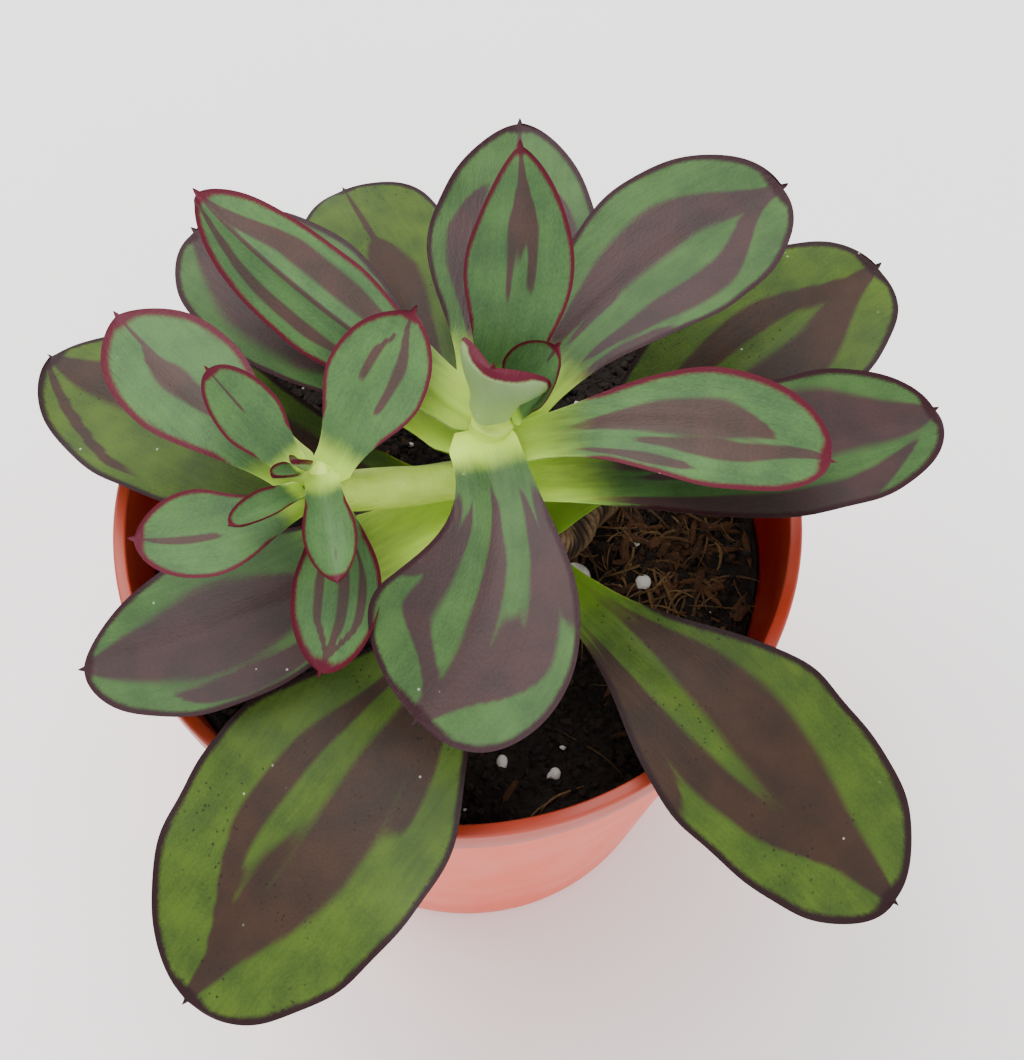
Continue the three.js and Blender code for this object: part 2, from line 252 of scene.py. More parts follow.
# ---------------------------------------------------------------- finishes
@dataclass(frozen=True)
class LeafFlesh:
    """Living succulent leaf: waxy skin over wet flesh, striped purple by anthocyanin."""

    name: str
    green_dark: int
    green_light: int
    stripe_dark: int
    stripe_light: int
    rim: int
    base: int
    under: int
    bloom: float
    dark_specks: float = 0.0
    sheen: float = 0.42

    def build(self) -> bpy.types.Material:
        """Make the material from the leaf's own attributes: stripe, edge, stalk, under.

        Returns:
            The material. Stripes have feathered edges drawn out along the leaf, the stalk turns lime,
            the margin is a thin coloured line, and powdery wax lightens and dulls the skin.
        """
        s = Shader(self.name)
        flat = add(s.tree, "UVMap", uv_map="flat").outputs["UV"]
        streak = s.noise(0.8, 4, s.stretch(flat, (1.0, 0.12, 1.0)))  # veins under a millimetre wide
        fine = s.noise(0.3, 2, s.stretch(flat, (1.0, 0.5, 1.0)))
        blotch = s.noise(6.0, 2)
        ragged = s.plus(s.times(blotch, 0.5), s.times(streak, 0.5))
        grain = s.times(s.math("SUBTRACT", fine, 0.5), 0.3)
        shift = s.plus(s.times(s.math("SUBTRACT", ragged, 0.5), 0.5), grain)
        striped = s.ramp(s.plus(s.attribute("stripe"), shift), 0.2, 0.72)
        mottle = s.plus(s.times(blotch, 0.55), s.times(s.plus(streak, fine), 0.225))
        green = s.mix(s.ramp(mottle, 0.3, 0.7), self.green_dark, self.green_light)
        purple = s.mix(s.ramp(blotch, 0.25, 0.75), self.stripe_dark, self.stripe_light)
        colour = s.mix(striped, green, purple)
        faded = s.plus(s.attribute("stalk"), s.times(s.math("SUBTRACT", ragged, 0.5), 0.5))
        colour = s.mix(s.ramp(faded, 0.16, 1.0), colour, self.base)
        # Epicuticular wax: a thin even powder with a fine grain.
        wax = s.times(s.ramp(fine, 0.1, 0.9, (0.6, 1.0)), self.bloom)
        colour = s.mix(wax, colour, 0x8AA07C)
        colour = s.mix(s.times(s.attribute("under"), 0.8), colour, self.under)
        near = s.plus(s.attribute("edge"), s.times(shift, 1.1))
        colour = s.mix(s.ramp(near, 0.5, 1.25, (1.0, 0.0)), colour, self.rim)
        spots = add(s.tree, "TexVoronoi", {"Vector": s.place, "Scale": 1 / (3.4 * MM)})
        dot = s.ramp(spots.outputs["Distance"], 0.03, 0.07, (1.0, 0.0))
        some = s.ramp(s.noise(5.0, 1), 0.55, 0.62)
        colour = s.mix(s.times(s.times(dot, some), 0.5), colour, 0xC9C8B8)
        if self.dark_specks:
            pits = add(s.tree, "TexVoronoi", {"Vector": s.place, "Scale": 1 / (1.1 * MM)})
            pit = s.ramp(s.plus(pits.outputs["Distance"], s.times(fine, 0.25)), 0.2, 0.36, (1.0, 0.0))
            worn = s.ramp(s.noise(11.0, 2), 0.47, 0.62)
            colour = s.mix(s.times(s.times(pit, worn), self.dark_specks), colour, 0x140D08)
        s.set(Base_Color=colour, Roughness=s.ramp(fine, 0.2, 0.8, (self.sheen - 0.04, self.sheen + 0.1)),
              IOR=1.4, Specular_IOR_Level=0.25, Subsurface_Radius=(0.8, 1.0, 0.3),
              Subsurface_Weight=s.ramp(s.attribute("stalk"), 0, 0.6, (0.0, 0.5)),
              Subsurface_Scale=2.0 * MM)
        s.bump(s.plus(s.times(streak, 0.6), s.times(fine, 0.5)), 0.12)
        return s.material


class Flesh(Enum):
    """The ages of leaf on one plant."""

    # Blue-green under a light powder of wax, with a crimson margin.
    YOUNG = LeafFlesh(
        "young_leaf_waxed", green_dark=0x2A4826, green_light=0x426631, stripe_dark=0x2C1119,
        stripe_light=0x3E1C22, rim=0x4C091D, base=0xA4C43E, under=0x7E9862, bloom=0.08)
    # Full green and brown-purple, satin, with a dark margin.
    MATURE = LeafFlesh(
        "grown_leaf_waxed", green_dark=0x25401A, green_light=0x3A5A28, stripe_dark=0x28101A,
        stripe_light=0x361820, rim=0x260811, base=0xBCDE48, under=0x4A6428, bloom=0.05)
    # Yellower and duller, the wax worn off and the skin pitted.
    OLD = LeafFlesh(
        "old_leaf_weathered", green_dark=0x2A3E0A, green_light=0x42580F, stripe_dark=0x26110E,
        stripe_light=0x331A12, rim=0x200A0E, base=0x6C901C, under=0x40561C, bloom=0.03,
        dark_specks=0.8, sheen=0.46)


@dataclass(frozen=True)
class MouldedPolypropylene:
    """Injection-moulded polypropylene, dyed terracotta: satin, with faint rings from the turned mould."""

    name: str = "polypropylene_terracotta_moulded"
    # One terracotta in lit and shaded copies: lip on the collar, body lightened on the outer wall as painted
    # light, inside darkened as painted shade.
    lip: int = 0xA02A0C
    body: int = 0xDC451B
    inside: int = 0x8A1006

    def build(self) -> bpy.types.Material:
        """Make the material; tone runs from 0 inside (painted shade), through 0.5 on the collar, to 1 on the
        wall (painted light).
        """
        s = Shader(self.name)
        tone = s.attribute("tone")
        cloud = s.noise(14.0, 4)
        # Painted light and shade: the tone darkens the inside and lightens the outer wall of the one
        # plastic.
        colour = s.mix(s.ramp(tone, 0.05, 0.45), self.inside, self.lip)
        colour = s.mix(s.ramp(tone, 0.55, 0.95), colour, self.body)
        colour = s.mix(s.ramp(cloud, 0.4, 0.8, (0.0, 0.12)), colour, 0xD0754A)
        dust = s.times(s.ramp(s.noise(0.7, 3), 0.62, 0.75), s.ramp(s.noise(9.0, 2), 0.5, 0.7))
        colour = s.mix(s.times(dust, 0.5), colour, 0x5A3A2C)
        rings = s.noise(1.6, 2, s.stretch(s.place, (0.02, 0.02, 1.0)))
        s.set(Base_Color=colour, Roughness=s.ramp(cloud, 0.3, 0.7, (0.34, 0.46)), IOR=1.49,
              Subsurface_Weight=0.08, Subsurface_Radius=(1.0, 0.3, 0.15), Subsurface_Scale=1.5 * MM)
        s.bump(rings, 0.12)
        return s.material


@dataclass(frozen=True)
class Litter:
    """Loose natural crumbs of one kind, coloured between two tones by each crumb's own number."""

    name: str
    dark: int
    light: int
    grain_mm: float
    roughness: float = 0.95
    depth_mm: float = 0.4

    def build(self) -> bpy.types.Material:
        """Make the material; tone picks the crumb's colour and noise roughens and stains it."""
        s = Shader(self.name)
        grain = s.noise(self.grain_mm, 5)
        share = s.plus(s.times(s.attribute("tone"), 0.7), s.times(s.ramp(grain, 0.3, 0.7), 0.3))
        s.set(Base_Color=s.mix(share, self.dark, self.light), Roughness=self.roughness, IOR=1.45)
        s.bump(grain, self.depth_mm)
        return s.material


@dataclass(frozen=True)
class StemSkin:
    """Living stem: corky with leaf scars where old, smooth green epidermis where young."""

    name: str
    cork_dark_and_groove_shade: int = 0x20150C
    cork_light: int = 0x7E6444
    green_dark: int = 0xA4C63C
    green_light: int = 0xC4DE5C

    def build(self) -> bpy.types.Material:
        """Make the material: tone picks the cork's colour, dark in the ring grooves as painted shade, and
        fresh turns cork into waxy lime.
        """
        s = Shader(self.name)
        blotch = s.noise(4.0, 3)
        grain = s.noise(0.5, 4)
        # The dark cork colour fills the grooves between the rings as painted shade, as well as the cork's
        # own dark grain.
        cork = s.mix(s.times(s.ramp(s.attribute("tone"), 0.15, 0.8), s.ramp(grain, 0.2, 0.7, (0.4, 1.0))),
                     self.cork_dark_and_groove_shade, self.cork_light)
        skin = s.mix(s.ramp(blotch, 0.1, 0.9), self.green_dark, self.green_light)
        fresh = s.attribute("fresh")
        s.set(Base_Color=s.mix(fresh, cork, skin), Roughness=s.ramp(fresh, 0, 1, (0.85, 0.42)), IOR=1.4)
        s.bump(grain, 0.2)
        return s.material


@dataclass(frozen=True)
class Studio:
    """Matt white sweep that the plant stands on."""

    name: str = "white_paper_sweep_matt"

    def build(self) -> bpy.types.Material:
        """Make the material: near-white with a faint pulp mottle."""
        s = Shader(self.name)
        s.set(Base_Color=s.mix(s.noise(40.0), 0xFBFBFA, 0xFEFEFD), Roughness=0.9)
        return s.material


# ---------------------------------------------------------------- leaves
@dataclass(frozen=True)
class Stripe:
    """One purple stripe: its place across (-1 right edge, 1 left edge), half width and reach along.

    lean moves it outwards along the leaf, and close draws it in to the midline at the tip.
    """

    across: float
    width: float
    start: float = 0.2
    end: float = 1.0
    lean: float = 0.0
    close: float = 1.0

    def amount(self, s: np.ndarray, u: np.ndarray) -> np.ndarray:
        """How purple the skin is: exp(-((u - c(s)) / w(s))^4).

        Args:
            s: share along the leaf.
            u: share across the leaf.

        Returns:
            0 to 1 for each point.
        """
        tip = np.clip((s - 0.68) / 0.32, 0, 1)
        centre = (self.across + self.lean * (s - 0.5)) * (1 - self.close * tip * tip * (3 - 2 * tip))
        fade = 1.0 if self.end >= 1 else np.clip((self.end - s) / 0.2, 0, 1)
        swell = np.clip((s - self.start) / 0.35, 0, 1) * fade
        width = self.width * swell ** 0.75 * (1 - 0.4 * self.close * tip) + 1e-4
        return np.exp(-(((u - centre) / width) ** 4)) * np.clip(swell * 3, 0, 1)


@dataclass(frozen=True)
class Leaf:
    """One leaf, given as in the CAD part: midline ends in mm with heights from the rim, and its section."""

    name: str
    root: tuple[float, float, float]
    tip: tuple[float, float, float]
    wid: float
    bow: float = 0.0
    side: float = 0.0
    roll: float = 0.0
    cup: float = 12.0
    turn: float = 0.0
    thick: float = 2.4
    neck: float = 0.34
    belly: float = 0.64
    rise: float = 1.15
    blunt: float = 2.2
    point: float = 0.5
    flesh: Flesh = Flesh.MATURE
    slot: str = "leaf_mature"
    stripes: tuple[Stripe, ...] = ()
    wave: float = 0.25
    stalk: float = 0.3
    rim: float = 0.85

    ALONG = 88
    HALF = 18
    TUCK = 0.06
    MUCRO = 5

    def midline(self, rim: float) -> tuple[np.ndarray, ...]:
        """Follow the quadratic curve root, knee, tip, and carry the section's axes along it.

        Args:
            rim: height of the pot's rim in mm.

        Returns:
            Shares s, and at each the centre, tangent, direction to the left edge and upward normal.
        """
        a, b = np.array(self.root, float), np.array(self.tip, float)
        chord = b - a
        left = np.array([-chord[1], chord[0], 0.0])
        left /= np.linalg.norm(left)
        up = np.cross(chord, left)
        up /= np.linalg.norm(up)
        knee = (a + b) / 2 + 2 * self.bow * up + 2 * self.side * left
        s = (1 + self.TUCK) * (1 - (1 - np.linspace(0, 1, self.ALONG)) ** 1.5) - self.TUCK
        t = s[:, None]
        centre = (1 - t) ** 2 * a + 2 * t * (1 - t) * knee + t * t * b + np.array([0, 0, rim])
        tangent = (1 - t) * (knee - a) + t * (b - knee)
        tangent /= np.linalg.norm(tangent, axis=1, keepdims=True)
        level = np.stack([-tangent[:, 1], tangent[:, 0], 0 * s], -1)
        level /= np.linalg.norm(level, axis=1, keepdims=True)
        normal = np.cross(tangent, level)
        c, q = math.cos(math.radians(self.roll)), math.sin(math.radians(self.roll))
        return s, centre, tangent, level * c + normal * q, normal * c - level * q

    def half_width(self, s: np.ndarray) -> np.ndarray:
        """Half the blade's width at shares s along the leaf, in mm.

        The stalk widens as (3x^2 - 2x^3)^rise, and the end closes as (1 - y^blunt)^point.
        """
        x = np.clip(s / self.belly, 0, 1)
        y = np.clip((s - self.belly) / (1 - self.belly), 0, 1)
        widening = (x * x * (3 - 2 * x)) ** self.rise
        base = self.neck * (1 + 6 * np.minimum(s, 0))
        return self.wid / 2 * (base + (1 - self.neck) * widening) * (1 - y ** self.blunt) ** self.point

    def build(self, rim: float, skin: bpy.types.Material) -> bpy.types.Object:
        """Build the leaf as one closed skin with a mucro, and paint its pattern into attributes.

        Args:
            rim: height of the pot's rim in mm.
            skin: the material of its age.

        Returns:
            The dressed piece.
        """
        rng = np.random.default_rng(SEED + sum(map(ord, self.name)))
        s, centre, tangent, across, out = self.midline(rim)
        run = np.concatenate([[0], np.cumsum(np.linalg.norm(np.diff(centre, axis=0), axis=1))])
        size = min(1.0, self.wid / 12)
        half = np.maximum(self.half_width(s), 0.34 * size)
        thick = self.thick * (1.3 - 0.5 * s) * np.minimum(1, 6 * (1 - s) + 0.3)
        # The mucro: a few more rings past the blade's end, closing to a point.
        extra = np.linspace(0.2, 1, self.MUCRO)
        reach = (extra * 0.9 * size)[:, None]
        centre = np.concatenate([centre, centre[-1] + tangent[-1] * reach])
        across = np.concatenate([across, np.repeat(across[-1:], self.MUCRO, 0)])
        out = np.concatenate([out, np.repeat(out[-1:], self.MUCRO, 0)])
        half = np.concatenate([half, half[-1] * (1 - extra) ** 0.8 + 0.02])
        thick = np.concatenate([thick, thick[-1] * (1 - extra) ** 0.8 + 0.02])
        run = np.concatenate([run, run[-1] + reach[:, 0]])
        s = np.concatenate([s, np.ones(self.MUCRO)])

        v = np.sin(np.pi / 2 * np.linspace(-1, 1, 2 * self.HALF + 1))
        u = np.concatenate([v, v[-2:0:-1]])
        under = np.concatenate([np.zeros(len(v)), np.ones(len(v) - 2)])
        cup = np.radians(self.cup) * (0.4 + 0.6 * np.minimum(s / 0.3, 1))[:, None]
        a = half[:, None] * np.sin(cup * u) / cup
        h = half[:, None] * (1 - np.cos(cup * u)) / cup
        if self.turn:
            bend = math.radians(self.turn) * np.clip(a / 1.5, 0, 1)
            a, h = a * np.cos(bend), h * np.cos(bend) - a * np.sin(bend)
        # Slow waves lift the margin up and down; a shallow groove runs along the midline.
        phase = rng.uniform(0, 2 * np.pi, 4)
        grow = np.clip(s, 0, 0.9)[:, None]
        sway = np.sin(run[:, None] / 5.5 + phase[0] + 1.3 * np.sign(u))
        ripple = np.sin(run[:, None] / 2.9 + phase[1] - np.sign(u))
        h = h + self.wave * grow * np.abs(u) ** 3 * (sway + 0.6 * ripple)
        wobble = np.sin(run[:, None] / 3.7 + phase[2]) + np.sin(run[:, None] / 1.9 + phase[3])
        a = a * (1 + 0.012 * grow * wobble)
        h = h - 0.16 * thick[:, None] * np.exp(-((a / (0.9 + 0.03 * self.wid)) ** 2))
        rim_round = 0.30 * (1 - np.abs(u) ** 6) ** 0.5 + 0.70 * (1 - u * u)
        h = h - under * thick[:, None] * rim_round
        points = centre[:, None] + a[..., None] * across[:, None] + h[..., None] * out[:, None]

        rings, around = points.shape[:2]
        start = centre[0] - out[0] * 0.4 * thick[0]
        end = centre[-1] + tangent[-1] * 0.1 * size
        points = np.concatenate([points.reshape(-1, 3), [start, end]])
        slope = np.gradient(half, np.maximum(run, np.arange(len(run)) * 1e-6))
        edge = half[:, None] * (1 - np.abs(u)) / np.sqrt(1 + slope ** 2)[:, None]
        edge = np.minimum(edge, np.clip(run[-1] - 1.3 * size - run, 0, None)[:, None] * 0.8 + 0 * u)
        rim_width = self.rim * (0.7 + 0.6 * np.clip(s, 0, 1)[:, None])
        edge = edge / rim_width + 3 * np.clip(1 - s / 0.28, 0, 1)[:, None]
        full_u = np.broadcast_to(u, (rings, around))
        full_s = np.broadcast_to(s[:, None], (rings, around))
        stripe = np.zeros((rings, around))
        for band in self.stripes:
            stripe = np.maximum(stripe, band.amount(full_s, full_u))
        stalk = np.clip(1 - full_s / self.stalk, 0, 1) + 0 * full_u
        under = np.broadcast_to(under, (rings, around))
        fields = {"stripe": stripe, "edge": edge, "stalk": stalk, "under": under}
        made = mesh_object(
            self.name + "_flesh", points, tube_faces(rings, around), skin,
            {key: np.append(value.ravel(), [value[0, 0], value[-1, 0]]) for key, value in fields.items()})
        flat = np.stack([(half[:, None] * u).ravel(), np.repeat(run, around)], -1) * MM
        flat = np.concatenate([flat, [[0, 0], [0, run[-1] * MM]]])
        corners = np.empty(len(made.data.loops), int)
        made.data.loops.foreach_get("vertex_index", corners)
        made.data.uv_layers.new(name="flat").data.foreach_set("uv", flat[corners].ravel())
        return dress(made, self.slot, self.name)


def leaves() -> list[Leaf]:
    """List every leaf with its place, shape and stripes.

    Returns:
        The main crown from the centre outwards, then the side crown.
    """
    young = dict(flesh=Flesh.YOUNG, slot="leaf_young", rim=0.65)
    old = dict(flesh=Flesh.OLD, slot="leaf_old", wave=0.6)
    side = dict(young, neck=0.4, belly=0.6, wave=0.15, stalk=0.22)
    S = Stripe
    shoulders = (S(-0.9, 0.35, 0.12, 0.6, close=0), S(0.9, 0.35, 0.12, 0.6, close=0))
    return [
        Leaf("leaf_centre_front", (4.8, -5, 35.5), (5.6, -3.7, 44.5), 16.5, cup=58, roll=180,
             thick=1.3, neck=0.4, belly=0.7, blunt=3, stalk=0.9, stripes=(S(0, 0.15, 0.6),),
             **dict(young, rim=0.35)),
        Leaf("leaf_centre_back", (8, -4, 34), (14, 0, 44), 10, cup=46, thick=1.2, neck=0.5, belly=0.5,
             point=0.6, stalk=0.15, stripes=(S(0, 0.2, 0.7),), **dict(young, rim=0.45)),
        Leaf("leaf_back_young", (6, -1, 34), (9, 20, 60), 14.8, side=-1.5, cup=22, neck=0.5, belly=0.5,
             blunt=1.8, point=0.75, thick=2, stalk=0.15,
             stripes=(S(0.17, 0.12, 0.32), S(-0.22, 0.13, 0.34), S(0, 0.22, 0.5)), **young),
        Leaf("leaf_back_right", (8, -2, 31), (46.5, 32, 37), 25.5, bow=1, side=3, belly=0.66,
             stripes=(S(0.28, 0.3, 0.12, lean=0.1), S(-0.58, 0.2, 0.15), S(0.02, 0.07, 0.15, 0.5),
                      S(-0.9, 0.2, 0.05, 0.5, close=0))),
        Leaf("leaf_back_left_upper", (2, -3, 34), (-35, 24, 45), 17, side=1, roll=14, cup=8, turn=60,
             neck=0.45, belly=0.55, point=0.6, thick=2,
             stripes=(S(-0.45, 0.27, 0.1), S(0.1, 0.06, 0.15, close=0.3), S(0.6, 0.12, 0.15, close=0.3)),
             **dict(young, rim=0.8)),
        Leaf("leaf_right_upper", (9, -7, 31), (51, -10, 32), 17.8, bow=3, side=2, roll=6, cup=18,
             stripes=(S(0.2, 0.34, 0.1, 0.85), S(-0.3, 0.2, 0.3), S(-0.7, 0.16, 0.1, 0.6)),
             **dict(young, rim=0.9)),
        Leaf("leaf_front", (4.2, -8, 32.5), (-4, -44.5, 24), 28, bow=3, side=6, belly=0.7, rise=1.4,
             blunt=3, stalk=0.13,
             stripes=(S(-0.58, 0.17, 0.15), S(0.0, 0.15, 0.08, 1.0, 0.2), S(0.6, 0.19, 0.12),
                      S(0.34, 0.32, 0.52), *shoulders)),
        Leaf("leaf_back", (5, 0, 30), (9, 45, 35), 24.5, side=-1, neck=0.4, belly=0.52, blunt=2,
             point=0.66, stripes=(S(0, 0.13, 0.5), S(0.55, 0.24, 0.1, 0.8), S(-0.55, 0.22, 0.1, 0.8))),
        Leaf("leaf_back_left_lower", (0, -3, 28), (-39, 32, 26), 25, bow=1, cup=10, belly=0.6,
             stripes=(S(0.1, 0.66, 0.08),)),
        Leaf("leaf_right_lower", (8, -10, 26), (69, 5.5, 20), 22, bow=3, side=-4.5, roll=4, cup=14,
             neck=0.3, belly=0.66,
             stripes=(S(0.3, 0.55, 0.15), S(-0.78, 0.22, 0.1, 0.95, close=0.5),
                      S(-0.1, 0.25, 0.2, 0.6))),
        Leaf("leaf_back_left_old", (2, 0, 25), (-19, 51, 12), 24, bow=3, cup=10, belly=0.6, point=0.58,
             thick=2.2, stripes=(S(0, 0.34, 0.1, 0.75), S(0, 0.05, 0.5)), **dict(old, rim=0.6)),
        Leaf("leaf_front_left", (0, -10, 18), (-53, -29, 4), 25, bow=2, side=4, cup=8, neck=0.4,
             belly=0.6, point=0.62, stalk=0.46,
             stripes=(S(0.0, 0.62, 0.25), S(0.75, 0.2, 0.2, 0.8, close=0.5))),
        Leaf("leaf_left_old", (3, -7, 12), (-63, 21.5, 8), 27.5, bow=1, side=4, cup=10, neck=0.28,
             belly=0.66, point=0.6, thick=2.2,
             stripes=(S(-0.25, 0.42, 0.05), S(0.8, 0.12, 0.6, close=0.4),
                      S(0.95, 0.35, 0.05, 0.6, close=0)), **old),
        Leaf("leaf_right_old", (13, -4, 5), (65, 36.5, 12), 29.5, bow=2, cup=10, neck=0.28, belly=0.66,
             thick=2.2, stripes=(S(0.3, 0.17, 0.2), S(-0.4, 0.3, 0.15)), **old),
        Leaf("leaf_front_left_old", (9, -10, 5), (-36.5, -73, -9), 38, bow=9, side=2.5, cup=8,
             neck=0.2, belly=0.6, rise=1.8, blunt=2.3, point=0.52,
             stripes=(S(-0.4, 0.12, 0.12, 1.0, -0.1), S(0.2, 0.26, 0.1, 1.0, 0.1),
                      S(0.52, 0.22, 0.2, 0.6), S(-0.1, 0.2, 0.6)), **dict(old, rim=1.0)),
        Leaf("leaf_front_right_old", (12.8, -11.2, 1), (62.8, -58.5, -9), 31, bow=8, side=-1.2, cup=8,
             neck=0.22, belly=0.6, rise=1.4,
             stripes=(S(0.26, 0.36, 0.02, 1.0, -0.75), S(-0.52, 0.2, 0.08, 1.0, 0.5),
                      S(-0.9, 0.3, 0.1, 0.6, close=0)), **dict(old, rim=1.1)),
        Leaf("side_leaf_bud_left", (-20, -13, 34), (-23, -16, 38), 3, cup=40, thick=0.8,
             **dict(side, neck=0.7, belly=0.4, rim=0.4)),
        Leaf("side_leaf_bud_right", (-19, -12, 34), (-20, -15, 40), 3, cup=40, thick=0.8,
             **dict(side, neck=0.7, belly=0.4, rim=0.4)),
        Leaf("side_leaf_front_inner", (-17, -14, 33), (-14, -30, 35), 8, cup=50, thick=1.3,
             stripes=(S(0.1, 0.3, 0.62, 0.85),), **dict(side, neck=0.6)),
        Leaf("side_leaf_left_small", (-20, -15, 32), (-28, -23, 37), 5, cup=50, thick=1,
             **dict(side, neck=0.6, belly=0.5, rim=0.5)),
        Leaf("side_leaf_left_inner", (-21, -12, 33), (-32, -2, 41), 9, cup=16, thick=1.4,
             stripes=(S(0.0, 0.07, 0.5),), **dict(side, neck=0.5, belly=0.5, rim=0.6)),
        Leaf("side_leaf_right", (-16, -11, 31), (-5, 6, 43), 15, cup=14, thick=1.8, point=0.75,
             stripes=(S(-0.3, 0.14, 0.3), S(0.3, 0.1, 0.4, 0.9)), **dict(side, belly=0.55)),
        Leaf("side_leaf_left", (-21, -11, 30), (-47, 12, 33), 18, cup=10, thick=2, point=0.7,
             stripes=(S(0.05, 0.24, 0.25, 0.85, 0.2), S(0, 0.1, 0.6)), **dict(side, side=1, rim=1.1)),
        Leaf("side_leaf_front_left", (-21, -15, 29), (-41, -23, 33), 13.5, thick=1.8, point=0.62,
             stripes=(S(0.05, 0.12, 0.4),), **dict(side, side=2)),
        Leaf("side_leaf_front", (-17, -15, 30), (-17, -37, 22), 13.5, bow=2, cup=50, thick=1.6, point=0.62,
             stripes=(S(0.1, 0.12, 0.1), S(-0.4, 0.1, 0.15), S(0.5, 0.1, 0.2)),
             **dict(side, side=2.5, belly=0.55, rim=1.0)),
    ]


# ---------------------------------------------------------------- stems
@dataclass(frozen=True)
class Stem:
    """A round stem along a smooth path, with rings where old leaves dropped off."""

    name: str
    path: tuple[tuple[float, float, float], ...]
    radius: float
    ring_mm: float
    ring_depth: float
    slot: str
    green_from: float = 0.45

    def build(self, rim: float, skin: bpy.types.Material) -> bpy.types.Object:
        """Sweep a circle whose radius is r (1 + depth * ridge(run)) along a Catmull-Rom curve.

        Args:
            rim: height of the pot's rim in mm.
            skin: its material.

        Returns:
            The dressed piece.
        """
        knots = np.array(self.path, float) + np.array([0, 0, rim])
        knots = np.concatenate([[2 * knots[0] - knots[1]], knots, [2 * knots[-1] - knots[-2]]])
        centre = []
        for k in range(1, len(knots) - 2):
            a, b, c, d = knots[k - 1:k + 3]
            t = np.linspace(0, 1, 40, endpoint=k == len(knots) - 3)[:, None]
            square, cube = 2 * a - 5 * b + 4 * c - d, 3 * b - a - 3 * c + d
            centre.append(0.5 * (2 * b + (c - a) * t + square * t ** 2 + cube * t ** 3))
        centre = np.concatenate(centre)
        tangent = np.gradient(centre, axis=0)
        tangent /= np.linalg.norm(tangent, axis=1, keepdims=True)
        first = np.cross(tangent, [0.3, 1.0, 0.1])
        first /= np.linalg.norm(first, axis=1, keepdims=True)
        second = np.cross(tangent, first)
        run = np.concatenate([[0], np.cumsum(np.linalg.norm(np.diff(centre, axis=0), axis=1))])[:, None]
        turn = np.linspace(0, 2 * np.pi, 48, endpoint=False)
        phase = run / self.ring_mm * 2 * np.pi + 0.9 * np.sin(turn + 1) + 0.5 * np.sin(3 * turn + run)
        phase = phase + 1.1 * np.sin(run / 2.3) + 0.7 * np.sin(run / 1.1 + turn)
        ridge = np.abs(np.sin(phase / 2)) ** 0.6 * (0.75 + 0.35 * np.sin(run / 1.7 + 2 * turn)) - 0.6
        lumps = 0.04 * np.sin(2 * turn + run / 3) + 0.03 * np.sin(5 * turn - run / 2)
        fresh = np.clip((np.linspace(0, 1, len(run)) - self.green_from) / 0.2, 0, 1)[:, None] + 0 * turn
        radius = self.radius * (1 + self.ring_depth * ridge * (1 - 0.85 * fresh) + lumps)
        points = centre[:, None] + radius[..., None] * (
            np.cos(turn)[None, :, None] * first[:, None] + np.sin(turn)[None, :, None] * second[:, None])
        rings, around = points.shape[:2]
        points = np.concatenate([points.reshape(-1, 3), [centre[0], centre[-1]]])
        # Tone follows the rings: lighter on the ridges and darker down in the grooves, which is painted
        # shade.
        tone = np.append(np.clip(0.5 + 0.9 * ridge + 0 * turn, 0, 1).ravel(), [0.5, 0.5])
        made = mesh_object(self.name + "_skin", points, tube_faces(rings, around), skin,
                           {"tone": tone, "fresh": np.append(fresh.ravel(), [fresh[0, 0], fresh[-1, 0]])})
        return dress(made, self.slot, self.name)


